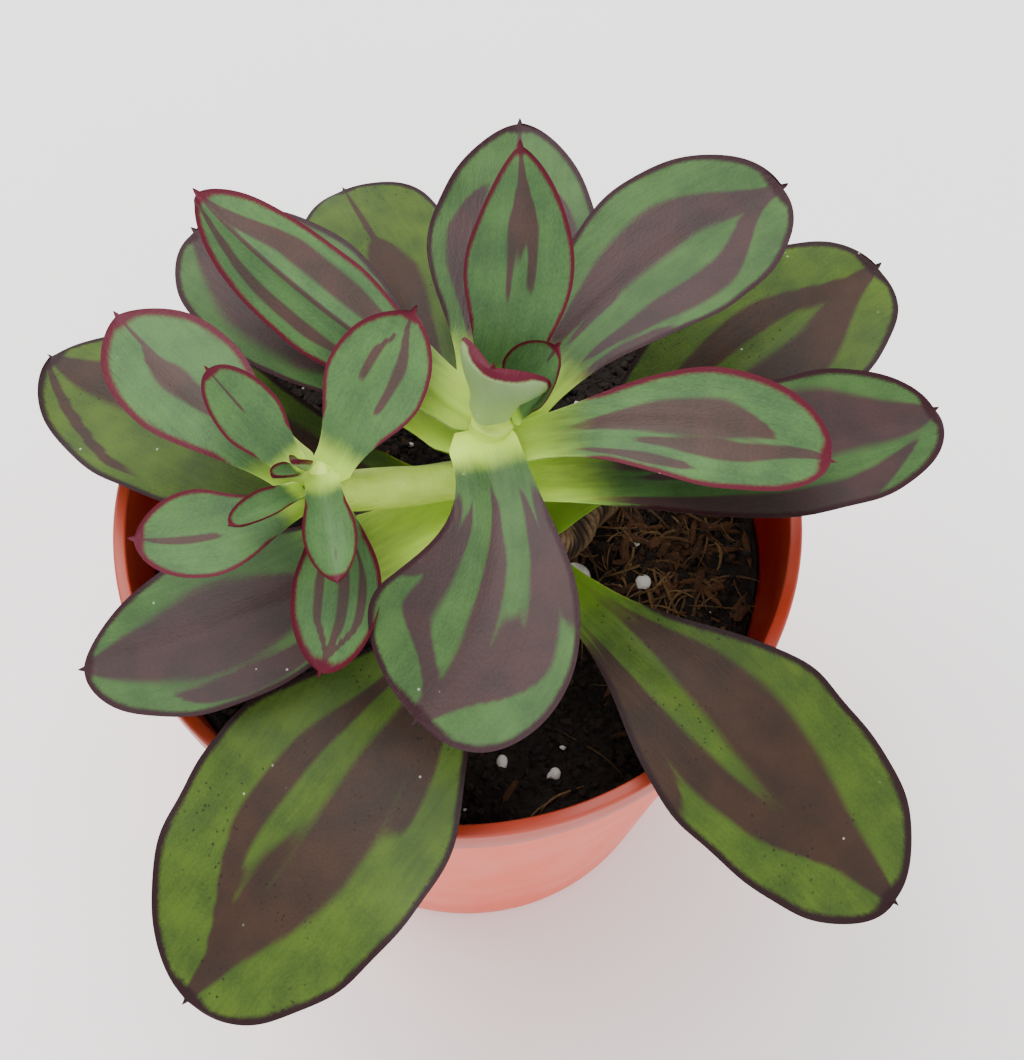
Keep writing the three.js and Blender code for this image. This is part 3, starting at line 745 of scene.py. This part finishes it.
# ---------------------------------------------------------------- pot
@dataclass(frozen=True)
class Pot:
    """Thin-walled moulded pot with a rolled collar, a foot ring and drain holes."""

    height: float
    rim: float
    lip: float = 2.0
    collar: float = 7.0
    step: float = 0.7
    wall: float = 1.2
    foot: float = 37.8
    foot_inner: float = 30.0
    pad: float = 12.0
    groove: float = 2.2
    holes: int = 8
    hole: float = 5.0
    hole_circle: float = 21.0
    around: int = 192

    def bore(self, z: float) -> float:
        """Inner radius at a height."""
        low, high = 1 + self.wall, self.height - self.collar
        top = self.rim - self.step - 1.3 - self.wall
        return self.foot - self.wall + (top - self.foot + self.wall) * (z - low) / (high - low)

    def profile(self) -> tuple[np.ndarray, np.ndarray]:
        """Trace the wall from the underside, up the outside, over the lip and down the inside.

        Returns:
            Radius and height pairs, and the tone of each, for the plastic's painted light and shade: 1 wall,
            0.5 collar, 0 inside.
        """
        top, under = self.height, self.height - self.collar
        body = self.rim - self.step
        quarter = np.linspace(0, np.pi / 2, 6)
        lip = [(self.rim - 0.5 + 0.5 * math.cos(a), top - 0.5 + 0.5 * math.sin(a)) for a in quarter]
        inner = [(self.rim - self.lip + 0.35 - 0.35 * math.sin(a), top - 0.35 + 0.35 * math.cos(a))
                 for a in quarter]
        wall = [(self.foot + (body - 1.3 - self.foot) * t, 1 + (under - 1) * t)
                for t in np.linspace(0, 1, 24)]
        bore = [(self.bore(z), z) for z in np.linspace(under, 1 + self.wall, 24)]
        runs = [
            ([(self.pad, 0), (self.pad + 1, self.groove), (self.foot_inner - 1, self.groove),
              (self.foot_inner, 0), (self.foot - 1, 0), (self.foot - 0.3, 0.3)], 1.0),
            (wall, 1.0),
            ([(body - 0.9, under + 0.15), (self.rim - 0.7, under + 0.4),
              (self.rim - 0.45, under + 0.8)], 0.5),
            ([(self.rim - 0.1, under + 3.5)] + lip, 0.5), (inner, 0.4), (bore, 0.0),
            ([(self.foot - 1.6, self.wall), (self.foot_inner + 0.6, self.wall),
              (self.foot_inner - 0.4, self.groove + self.wall), (self.pad + 0.4, self.groove + self.wall),
              (self.pad - 0.6, self.wall)], 0.0),
        ]
        tones = np.array([tone for run, tone in runs for _ in run])
        return np.array([point for run, _ in runs for point in run]), tones

    def build(self, skin: bpy.types.Material) -> bpy.types.Object:
        """Turn the profile round the axis and pierce the drain holes.

        Args:
            skin: the plastic.

        Returns:
            The dressed piece.
        """
        profile, tone = self.profile()
        turn = np.linspace(0, 2 * np.pi, self.around, endpoint=False)
        radius, z = profile[:, :1], profile[:, 1:]
        points = np.stack([radius * np.cos(turn), radius * np.sin(turn), z + 0 * turn], -1)
        points = np.concatenate([points.reshape(-1, 3), [(0, 0, 0), (0, 0, self.wall)]])
        made = mesh_object("pot_shell", points, tube_faces(len(profile), self.around), skin,
                           {"tone": np.append(np.repeat(tone, self.around), [1.0, 0.0])})
        cutters, sides = [], 32
        ring = np.linspace(0, 2 * np.pi, sides, endpoint=False)
        for k in range(self.holes):
            a = 2 * math.pi * (k + 0.5) / self.holes
            disc = np.stack([self.hole_circle * math.cos(a) + self.hole / 2 * np.cos(ring),
                             self.hole_circle * math.sin(a) + self.hole / 2 * np.sin(ring)], -1)
            rings = [np.column_stack([disc, np.full(sides, z)]) for z in (-1.0, 5.0)]
            hub = [(*disc.mean(0), z) for z in (-1.0, 5.0)]
            cutters.append(np.concatenate([*rings, hub]))
        each = 2 * sides + 2
        faces = [tuple(i + k * each for i in f) for k in range(self.holes) for f in tube_faces(2, sides)]
        cutter = mesh_object("drain_cutter", np.concatenate(cutters), faces, skin)
        cut = made.modifiers.new("drain", "BOOLEAN")
        cut.object, cut.operation, cut.solver = cutter, "DIFFERENCE", "EXACT"
        graph = bpy.context.evaluated_depsgraph_get()
        pierced = bpy.data.meshes.new_from_object(made.evaluated_get(graph))
        made.modifiers.clear()
        made.data = pierced
        bpy.data.objects.remove(cutter)
        return dress(made, "pot", "pot")


# ---------------------------------------------------------------- soil
@dataclass(frozen=True)
class Soil:
    """Potting mix: an uneven bed with crumbs, bark chips, fibres and perlite lying in it."""

    pot: Pot
    level: float = 78.0
    dip: float = 12.0
    dip_angle: float = -38.0

    def height(self, x: np.ndarray, y: np.ndarray) -> np.ndarray:
        """Height of the bed: the level, less the sunken patch by the wall, plus low waves."""
        angle = np.arctan2(y, x) - math.radians(self.dip_angle)
        out = np.hypot(x, y) / (self.pot.rim - 4)
        sunk = self.dip * np.exp(-((angle / 0.6) ** 2)) * np.maximum(0, out - 0.35) ** 1.3
        return self.level - sunk + 0.8 * np.sin(x / 4 + 1) * np.cos(y / 5) + 0.6 * np.sin((x + y) / 3.1)

    def bed(self, skin: bpy.types.Material) -> bpy.types.Object:
        """Build the closed bed with a crumbly upper face.

        Args:
            skin: the potting mix.

        Returns:
            The dressed piece.
        """
        rng = np.random.default_rng(SEED)
        rings, around = 90, 220
        turn = np.linspace(0, 2 * np.pi, around, endpoint=False)
        level = self.height(48 * np.cos(turn), 48 * np.sin(turn))
        edge = np.array([self.pot.bore(z) for z in level]) - 0.45
        floor = self.pot.groove + self.pot.wall + 0.3
        share = np.linspace(1, 1 / rings, rings)[:, None]
        x, y = share * edge * np.cos(turn), share * edge * np.sin(turn)
        rough = rng.normal(0, 0.35, x.shape) * np.minimum(1, share * 8) * (share < 0.999)
        top = np.stack([x, y, self.height(x, y) + rough], -1)
        low = [np.stack([r * np.cos(turn), r * np.sin(turn), 0 * turn + floor], -1)
               for r in (14.0, self.pot.bore(floor) - 0.45)]
        ends = [(0, 0, floor), (0, 0, self.height(0.0, 0.0))]
        points = np.concatenate([*low, top.reshape(-1, 3), ends])
        made = mesh_object("soil_bed", points, tube_faces(rings + 2, around), skin,
                           {"tone": np.clip(rng.normal(0.3, 0.2, len(points)), 0, 1)})
        return dress(made, "soil", "soil")

    def scatter(
        self, rng: np.random.Generator, count: int, patch: tuple[float, float, float] | None = None,
    ) -> np.ndarray:
        """Pick points on the bed.

        Args:
            rng: the seeded generator.
            count: how many.
            patch: centre x, y and spread in mm to gather them round, or None for the whole bed.

        Returns:
            One x, y, z row each.
        """
        if patch:
            xy = rng.normal(patch[:2], patch[2], (count * 4, 2))
        else:
            r, a = 46.5 * np.sqrt(rng.uniform(0, 1, count)), rng.uniform(0, 2 * np.pi, count)
            xy = np.stack([r * np.cos(a), r * np.sin(a)], -1)
        xy = xy[np.hypot(*xy.T) < 46][:count]
        return np.column_stack([xy, self.height(*xy.T)])

    def crumbs(
        self, name: str, skin: bpy.types.Material, slot: str, at: np.ndarray, size: tuple[float, float],
        form: tuple[float, float, float], lift: float = 0.3, seed: int = 0,
    ) -> bpy.types.Object:
        """Lay one small angular lump at each point, as one piece.

        Args:
            name: the piece's name.
            skin: its material.
            slot: the record's slot.
            at: where each lies.
            size: smallest and largest radius in mm.
            form: stretch along the lump's own axes.
            lift: share of the radius by which it stands out of the bed.
            seed: varies the draw.

        Returns:
            The dressed piece.
        """
        rng = np.random.default_rng(SEED + seed)
        g = (1 + 5 ** 0.5) / 2
        ball = np.array([
            (-1, g, 0), (1, g, 0), (-1, -g, 0), (1, -g, 0), (0, -1, g), (0, 1, g), (0, -1, -g), (0, 1, -g),
            (g, 0, -1), (g, 0, 1), (-g, 0, -1), (-g, 0, 1)]) / math.hypot(1, g)
        faces = np.array([
            (0, 11, 5), (0, 5, 1), (0, 1, 7), (0, 7, 10), (0, 10, 11), (1, 5, 9), (5, 11, 4), (11, 10, 2),
            (10, 7, 6), (7, 1, 8), (3, 9, 4), (3, 4, 2), (3, 2, 6), (3, 6, 8), (3, 8, 9), (4, 9, 5),
            (2, 4, 11), (6, 2, 10), (8, 6, 7), (9, 8, 1)])
        count = len(at)
        radius = size[0] + (size[1] - size[0]) * rng.uniform(0, 1, count) ** 2.2
        lumps = ball[None] * rng.uniform(0.7, 1.2, (count, len(ball), 1)) * np.array(form)
        lumps = lumps * radius[:, None, None]
        yaw, tilt = rng.uniform(0, 2 * np.pi, count), rng.normal(0, 0.35, count)
        cy, sy, ct, st = np.cos(yaw), np.sin(yaw), np.cos(tilt), np.sin(tilt)
        zero = 0 * yaw
        spin = np.stack([np.stack([cy * ct, -sy, cy * st], -1), np.stack([sy * ct, cy, sy * st], -1),
                         np.stack([-st, zero, ct], -1)], 1)
        points = np.einsum("nij,nkj->nki", spin, lumps) + at[:, None]
        points[..., 2] += (lift * radius * form[2])[:, None]
        all_faces = (faces[None] + len(ball) * np.arange(count)[:, None, None]).reshape(-1, 3)
        tone = np.repeat(rng.uniform(0, 1, count), len(ball))
        made = mesh_object(name, points.reshape(-1, 3), all_faces.tolist(), skin, {"tone": tone})
        made.data.polygons.foreach_set("use_smooth", np.zeros(len(made.data.polygons), bool))
        return dress(made, slot)

    def fibres(self, skin: bpy.types.Material, at: np.ndarray) -> bpy.types.Object:
        """Lay thin bent root and coir fibres, each a five-sided tapering tube.

        Args:
            skin: their material.
            at: where the middle of each lies.

        Returns:
            The dressed piece.
        """
        rng = np.random.default_rng(SEED + 9)
        steps, sides = 9, 5
        t = np.linspace(-1, 1, steps)
        ring = np.linspace(0, 2 * np.pi, sides, endpoint=False)
        points, faces = [], []
        for k, place in enumerate(at):
            yaw, bend, reach = rng.uniform(0, 2 * np.pi), rng.normal(0, 0.35), rng.uniform(2, 7)
            x, y = t * reach, bend * t * t * reach
            line = np.stack([x * math.cos(yaw) - y * math.sin(yaw),
                             x * math.sin(yaw) + y * math.cos(yaw), 0 * t], -1) + place
            line[:, 2] = self.height(line[:, 0], line[:, 1]) + 0.5 + 0.5 * np.sin(3 * t + bend)
            radius = rng.uniform(0.12, 0.3) * (1 - 0.7 * np.abs(t) ** 2)
            side = np.array([-math.sin(yaw), math.cos(yaw), 0])
            wall = line[:, None] + radius[:, None, None] * (
                np.cos(ring)[None, :, None] * side + np.sin(ring)[None, :, None] * np.array([0, 0, 1.0]))
            points.append(np.concatenate([wall.reshape(-1, 3), line[[0, -1]]]))
            faces += [tuple(i + k * (steps * sides + 2) for i in f) for f in tube_faces(steps, sides)]
        tone = np.repeat(rng.uniform(0, 1, len(at)), steps * sides + 2)
        return dress(mesh_object("root_fibres", np.concatenate(points), faces, skin, {"tone": tone}), "soil")

    def perlite(self, node: str, skin: bpy.types.Material) -> bpy.types.Object:
        """Build one large perlite grain in the place and size of its CAD node.

        Args:
            node: the CAD node.
            skin: the perlite.

        Returns:
            The dressed piece.
        """
        low, high = (np.array(c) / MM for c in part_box(node))
        rng = np.random.default_rng(SEED + int(node[-1]))
        rings, around = 18, 28
        polar = np.linspace(0, np.pi, rings + 2)[1:-1, None]
        turn = np.linspace(0, 2 * np.pi, around, endpoint=False)
        unit = np.stack(
            [np.sin(polar) * np.cos(turn), np.sin(polar) * np.sin(turn), np.cos(polar) + 0 * turn], -1)
        swell = np.ones(unit.shape[:2])
        for _ in range(9):
            pick = rng.normal(0, 1, 3)
            pick /= np.linalg.norm(pick)
            swell += rng.uniform(-0.14, 0.1) * np.exp(-((1 - unit @ pick) / 0.12))
        points = (low + high) / 2 + unit * (high - low) / 2 * (0.96 * swell)[..., None]
        ends = [(low + high) / 2 + np.array([0, 0, z]) * (high - low) / 2 for z in (0.95, -0.95)]
        made = mesh_object(node + "_grain", np.concatenate([points.reshape(-1, 3), ends]),
                           [f[::-1] for f in tube_faces(rings, around)], skin,
                           {"tone": np.full(rings * around + 2, 0.8)})
        return dress(made, "perlite", node)

    def build(self) -> None:
        """Lay the bed and everything in it."""
        mix = Litter("potting_mix_moist", 0x0E0A08, 0x2C2019, 0.9, depth_mm=0.7).build()
        chip = Litter("composted_bark_split", 0x1C0F08, 0x5E3C22, 0.5).build()
        dry = Litter("coir_fibre_dry", 0x3A2412, 0x8A6A44, 0.4).build()
        stone = Litter("perlite_expanded", 0xB9B2A4, 0xF0EEE8, 0.35, 0.9, 0.3).build()
        rng = np.random.default_rng(SEED + 1)
        self.bed(mix)
        crumbs = self.scatter(rng, 5200)
        self.crumbs("soil_crumbs", mix, "soil", crumbs, (0.25, 1.2), (1, 0.8, 0.7), seed=2)
        chips = np.concatenate([self.scatter(rng, 260, (33, 1, 8)), self.scatter(rng, 70)])
        self.crumbs("bark_chips", chip, "bark", chips, (0.5, 2.0), (2.0, 0.42, 0.26), 1.2, 3)
        self.fibres(dry, np.concatenate([self.scatter(rng, 110, (32, 0, 8)), self.scatter(rng, 45)]))
        fines = self.scatter(rng, 70)
        self.crumbs("perlite_fines", stone, "perlite", fines, (0.2, 0.8), (1, 0.9, 0.8), 0.6, 4)
        for k in range(1, 8):
            self.perlite(f"perlite_{k}", stone)


# ---------------------------------------------------------------- camera and light
@dataclass(frozen=True)
class Setup:
    """Camera, floor and light of a small product studio."""

    elevation: float = 62.3
    distance: float = 270.0
    aim: tuple[float, float] = (8.24, -4.1)
    roll: float = 0.35
    lens: float = 60.5
    sky: float = 1.35

    def camera(self, rim: float) -> None:
        """Place the camera above the front, looking down at the rim's plane.

        Args:
            rim: height of the pot's rim in mm.
        """
        e, r = math.radians(self.elevation), math.radians(self.roll)
        back = Vector((0, -math.cos(e), math.sin(e)))
        right = Vector((1, 0, 0))
        up = back.cross(right)
        right, up = right * math.cos(r) + up * math.sin(r), up * math.cos(r) - right * math.sin(r)
        data = bpy.data.cameras.new("camera")
        data.lens, data.clip_start, data.clip_end = self.lens, 0.01, 10
        made = bpy.data.objects.new("camera", data)
        axes = Matrix((right, up, back)).transposed().to_4x4()
        made.matrix_world = Matrix.Translation((Vector((*self.aim, rim)) + back * self.distance) * MM) @ axes
        bpy.context.scene.collection.objects.link(made)
        bpy.context.scene.camera = made

    def light(self) -> None:
        """Hang a large soft key above and behind to the left, a weak fill in front, and a white sky."""
        for name, at, size, watts in (
            ("key", (-0.3, 0.35, 1.0), 1.0, 17.0), ("fill", (0.5, -0.9, 0.7), 0.9, 4.0),
        ):
            data = bpy.data.lights.new(name, "AREA")
            data.size, data.energy = size, watts
            made = bpy.data.objects.new(name, data)
            made.location = at
            made.rotation_euler = (Vector(at) - Vector((0, 0, 0.1))).to_track_quat("Z", "Y").to_euler()
            bpy.context.scene.collection.objects.link(made)
        world = bpy.data.worlds.new("studio_sky")
        bpy.context.scene.world = world
        world.use_nodes = True
        background = world.node_tree.nodes["Background"]
        background.inputs["Color"].default_value = (1.0, 1.0, 1.0, 1.0)
        background.inputs["Strength"].default_value = self.sky

    def floor(self) -> None:
        """Lay the white sweep at the pot's foot."""
        reach = 1500.0
        corners = np.array([(-1, -1, 0), (1, -1, 0), (1, 1, 0), (-1, 1, 0)]) * reach
        mesh_object("floor", corners, [(0, 1, 2, 3)], Studio().build())

    def build(self, rim: float) -> None:
        """Set up everything round the plant."""
        self.camera(rim)
        self.light()
        self.floor()


def main() -> None:
    """Build the pot, the soil, the stems and the leaves, then the studio."""
    logging.basicConfig(level=logging.INFO, format="%(name)s: %(message)s")
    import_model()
    low, high = (np.array(c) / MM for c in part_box("pot"))
    rim = float(high[2])
    pot = Pot(height=rim, rim=float(high[0] - low[0]) / 2)
    pot.build(MouldedPolypropylene().build())
    Soil(pot).build()
    Stem("trunk", ((27, 15, -20), (21, 5, -9), (14.5, -6.5, 0), (8, -8, 14), (5, -6, 26), (5.5, -4.5, 33)),
         3.0, 1.7, 0.22, "bark").build(rim, StemSkin("woody_stem_scarred").build())
    Stem("side_shoot", ((5, -7.5, 23), (-5, -9.5, 23.5), (-14, -11.5, 25.5), (-18.5, -12.5, 30)),
         2.8, 4.5, 0.05, "shoot", -1.0).build(rim, StemSkin("green_shoot_epidermis").build())
    skins = {flesh: flesh.value.build() for flesh in Flesh}
    for leaf in leaves():
        leaf.build(rim, skins[leaf.flesh])
    Setup().build(rim)


if __name__ == "__main__":
    main()
